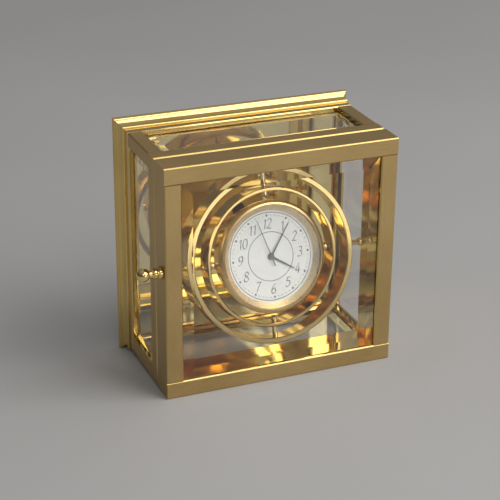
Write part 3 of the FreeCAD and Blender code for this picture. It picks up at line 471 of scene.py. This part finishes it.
def pen_stroke(bm, path):
    """A stroke of a broad nib: thin along the nib, thick across it."""
    left, right = [], []
    for i, (x, z) in enumerate(path):
        ax, az = path[max(i - 1, 0)]
        bx, bz = path[min(i + 1, len(path) - 1)]
        run = math.atan2(bz - az, bx - ax)
        width = PEN_THIN + (PEN_THICK - PEN_THIN) * abs(math.sin(run - PEN_ANGLE))
        ox, oz = -math.sin(run) * width / 2, math.cos(run) * width / 2
        left.append((x + ox, z + oz))
        right.append((x - ox, z - oz))
    strip(bm, left, right)


def numeral(bm, text, x, z, height):
    widths = [DIGIT_WIDTH.get(c, PLAIN_WIDTH) for c in text]
    start = -sum(widths) / 2
    for c, width in zip(text, widths):
        for stroke in DIGITS[c]:
            path = []
            for px, pz in smooth_path(stroke):
                px = px + start + (NARROW_SHIFT if c in DIGIT_WIDTH else 0.0)
                path.append((x + (px + SLANT * (pz - 0.5)) * height, z + (pz - 0.5) * height))
            pen_stroke(bm, path)
        start += width


def new_piece(name, bm, material, body):
    mesh = bpy.data.meshes.new(name)
    bmesh.ops.recalc_face_normals(bm, faces=bm.faces)
    bm.to_mesh(mesh)
    bm.free()
    obj = bpy.data.objects.new(name, mesh)
    bpy.context.scene.collection.objects.link(obj)
    mesh.materials.append(material)
    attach(obj, body)
    return obj


marks = bmesh.new()
for minute in range(60):
    angle = math.radians(90 - 6 * minute)
    on_hour = minute % 5 == 0
    dot(marks, HOUR_DOT_RADIUS * math.cos(angle), HOUR_DOT_RADIUS * math.sin(angle),
        HOUR_DOT if on_hour else MINUTE_DOT)
circle(marks, OUTER_CIRCLE, OUTER_LINE)
circle(marks, INNER_CIRCLE, INNER_LINE)
new_piece("dial_circles_and_dots", marks, ink, "clock")

figures = bmesh.new()
for hour in range(1, 13):
    angle = math.radians(90 - 30 * hour)
    numeral(figures, str(hour), NUMERAL_RADIUS * math.cos(angle), NUMERAL_RADIUS * math.sin(angle),
            NUMERAL_HEIGHT)
new_piece("dial_numerals", figures, ink, "clock")


# ------------------------------------------------------------------ stage, lights, camera

def stand_line():
    """The floor touches the base's lower bead and the door's lower front edge."""
    back = Vector((0.0, (low("base_block").y + 3 * high("base_block").y) / 4, low("base_block").z))
    front = Vector((0.0, door_front, low("door_rail_bottom").z))
    return front, back


FLOOR_HALF = 12.0
FLOOR_GAP = 0.03 * MM
FLOOR_DARK = rgb(0.52, 0.52, 0.525)
FLOOR_PALE = rgb(0.56, 0.56, 0.565)


def floor():
    front, back = stand_line()
    g = Graph("floor_paper")
    g.set("Base Color", clouded(g, FLOOR_DARK, FLOOR_PALE, g.noise(3.0, 2.0)))
    g.set("Roughness", 0.9)
    bm = bmesh.new()
    bmesh.ops.create_grid(bm, x_segments=1, y_segments=1, size=FLOOR_HALF)
    mesh = bpy.data.meshes.new("floor")
    bm.to_mesh(mesh)
    bm.free()
    obj = bpy.data.objects.new("floor", mesh)
    bpy.context.scene.collection.objects.link(obj)
    mesh.materials.append(g.mat)
    obj.rotation_euler = (math.atan2(back.z - front.z, back.y - front.y), 0, 0)
    obj.location = front - Vector((0, 0, FLOOR_GAP))


floor()

bpy.context.scene.view_settings.view_transform = "Standard"
bpy.context.scene.cycles.max_bounces = 24
bpy.context.scene.cycles.glossy_bounces = 16
bpy.context.scene.cycles.transmission_bounces = 24
world = bpy.data.worlds.new("studio")
bpy.context.scene.world = world
world.use_nodes = True
tree = world.node_tree
sky = tree.nodes["Background"]
direction = tree.nodes.new("ShaderNodeTexCoord").outputs["Generated"]
split = tree.nodes.new("ShaderNodeSeparateXYZ")
tree.links.new(direction, split.inputs[0])
shades = tree.nodes.new("ShaderNodeValToRGB")
shades.color_ramp.elements[0].position = 0.4
shades.color_ramp.elements[0].color = rgb(0.06, 0.056, 0.052)
shades.color_ramp.elements[1].position = 0.95
shades.color_ramp.elements[1].color = rgb(0.50, 0.485, 0.47)
half_up = tree.nodes.new("ShaderNodeMapRange")
half_up.inputs["From Min"].default_value = -1.0
tree.links.new(split.outputs[2], half_up.inputs["Value"])
tree.links.new(half_up.outputs[0], shades.inputs[0])
tree.links.new(shades.outputs[0], sky.inputs["Color"])
sideways = tree.nodes.new("ShaderNodeMapRange")
sideways.inputs["From Min"].default_value = -1.0
sideways.inputs["From Max"].default_value = 1.0
sideways.inputs["To Min"].default_value = 0.3
sideways.inputs["To Max"].default_value = 1.15
tree.links.new(split.outputs[0], sideways.inputs["Value"])
tree.links.new(sideways.outputs[0], sky.inputs["Strength"])


def soft_light(name, place, aim, size, power, colour):
    data = bpy.data.lights.new(name, "AREA")
    data.shape = "RECTANGLE"
    data.size, data.size_y = size
    data.energy = power
    data.color = colour
    obj = bpy.data.objects.new(name, data)
    bpy.context.scene.collection.objects.link(obj)
    obj.location = place
    obj.rotation_euler = (aim - place).to_track_quat("-Z", "Y").to_euler()


middle = (cad_low + cad_high) / 2
# Name, place from the object's middle, width and height in metres, power in watts, colour.
LIGHTS = (
    ("key", Vector((0.85, -0.8, 1.05)), (1.3, 1.3), 15.0, (1.0, 0.98, 0.95)),
    ("fill", Vector((0.5, -1.15, 0.05)), (0.7, 0.5), 1.8, (1.0, 0.98, 0.96)),
    ("front", Vector((-0.2, -1.05, 0.75)), (0.25, 0.25), 1.1, (1.0, 0.98, 0.96)),
)
for name, offset, size, power, colour in LIGHTS:
    soft_light(name, middle + offset, middle, size, power, colour)

CAMERA_TURN = math.radians(-22.29)
CAMERA_RISE = math.radians(24.0)
CAMERA_ROLL = math.radians(0.47)
CAMERA_REACH = 0.6496
CAMERA_LENS = 108.8
CAMERA_AIM_X = -0.01554
CAMERA_AIM_Z = 0.0118
camera_data = bpy.data.cameras.new("camera")
camera = bpy.data.objects.new("camera", camera_data)
bpy.context.scene.collection.objects.link(camera)
bpy.context.scene.camera = camera
camera_data.sensor_width = 36.0
camera_data.lens = CAMERA_LENS
camera_data.clip_start = 0.01
target = Vector((CAMERA_AIM_X, door_front, CAMERA_AIM_Z))
back = Vector((math.sin(CAMERA_TURN) * math.cos(CAMERA_RISE), -math.cos(CAMERA_TURN) * math.cos(CAMERA_RISE),
               math.sin(CAMERA_RISE)))
camera.location = target + back * CAMERA_REACH
turn = (-back).to_track_quat("-Z", "Y").to_matrix()
camera.rotation_euler = (turn @ Matrix.Rotation(CAMERA_ROLL, 3, "Z")).to_euler()
